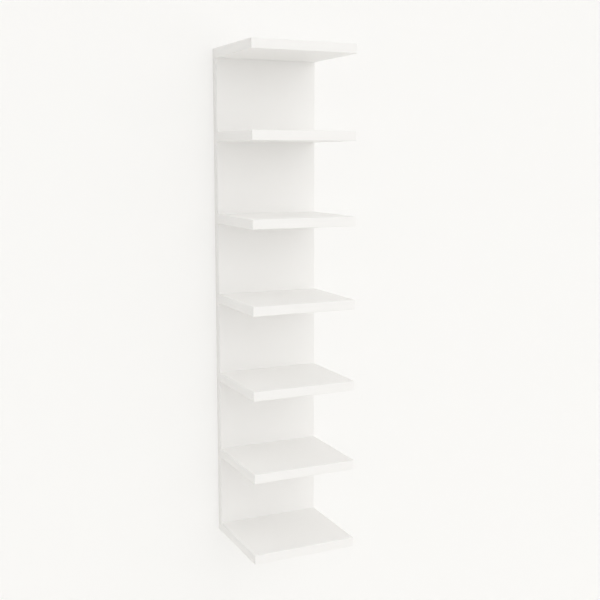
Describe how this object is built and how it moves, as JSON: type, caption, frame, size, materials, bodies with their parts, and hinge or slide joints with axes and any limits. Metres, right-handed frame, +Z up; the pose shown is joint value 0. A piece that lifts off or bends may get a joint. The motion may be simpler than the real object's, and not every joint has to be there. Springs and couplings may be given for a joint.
{
  "type": "wall-hung tower bookcase",
  "caption": "Tall slim wall-hung bookcase: cantilevered white hollow-core shelves on one full-height back board, open at the front and both sides, hung on keyhole plates at the rear.",
  "frame": {"origin": "on the rear (wall) face of the back board, at the centre of the four keyhole entry holes, which is also the centre of that face", "axes": "+X to the right seen from the front, +Y into the wall, +Z up"},
  "size_m": [0.4, 0.375, 1.841],
  "materials": {
    "white_lacquer": "satin",
    "white_edging": "satin",
    "frame_timber": "matte",
    "kraft_honeycomb": "matte",
    "beech": "matte",
    "zinc_steel": "satin"
  },
  "bodies": {
    "root": {"back_front_skin": "white_lacquer", "back_rear_skin": "white_lacquer", "back_left_edging": "white_edging", "back_right_edging": "white_edging", "back_top_edging": "white_edging", "back_bottom_edging": "white_edging", "back_left_stile": "frame_timber", "back_right_stile": "frame_timber", "back_cross_rail_1": "frame_timber", "back_cross_rail_2": "frame_timber", "back_cross_rail_3": "frame_timber", "back_cross_rail_4": "frame_timber", "back_cross_rail_5": "frame_timber", "back_cross_rail_6": "frame_timber", "back_cross_rail_7": "frame_timber", "back_honeycomb": "kraft_honeycomb", "shelf_1_top_skin": "white_lacquer", "shelf_1_bottom_skin": "white_lacquer", "shelf_1_frame": "frame_timber", "shelf_1_honeycomb": "kraft_honeycomb", "shelf_1_edging": "white_edging", "shelf_2_top_skin": "white_lacquer", "shelf_2_bottom_skin": "white_lacquer", "shelf_2_frame": "frame_timber", "shelf_2_honeycomb": "kraft_honeycomb", "shelf_2_edging": "white_edging", "shelf_3_top_skin": "white_lacquer", "shelf_3_bottom_skin": "white_lacquer", "shelf_3_frame": "frame_timber", "shelf_3_honeycomb": "kraft_honeycomb", "shelf_3_edging": "white_edging", "shelf_4_top_skin": "white_lacquer", "shelf_4_bottom_skin": "white_lacquer", "shelf_4_frame": "frame_timber", "shelf_4_honeycomb": "kraft_honeycomb", "shelf_4_edging": "white_edging", "shelf_5_top_skin": "white_lacquer", "shelf_5_bottom_skin": "white_lacquer", "shelf_5_frame": "frame_timber", "shelf_5_honeycomb": "kraft_honeycomb", "shelf_5_edging": "white_edging", "shelf_6_top_skin": "white_lacquer", "shelf_6_bottom_skin": "white_lacquer", "shelf_6_frame": "frame_timber", "shelf_6_honeycomb": "kraft_honeycomb", "shelf_6_edging": "white_edging", "shelf_7_top_skin": "white_lacquer", "shelf_7_bottom_skin": "white_lacquer", "shelf_7_frame": "frame_timber", "shelf_7_honeycomb": "kraft_honeycomb", "shelf_7_edging": "white_edging", "shelf_screws": "zinc_steel", "shelf_dowels": "beech", "upper_left_keyhole_plate": "zinc_steel", "upper_right_keyhole_plate": "zinc_steel", "lower_left_keyhole_plate": "zinc_steel", "lower_right_keyhole_plate": "zinc_steel", "keyhole_plate_screws": "zinc_steel"}
  },
  "joints": []
}
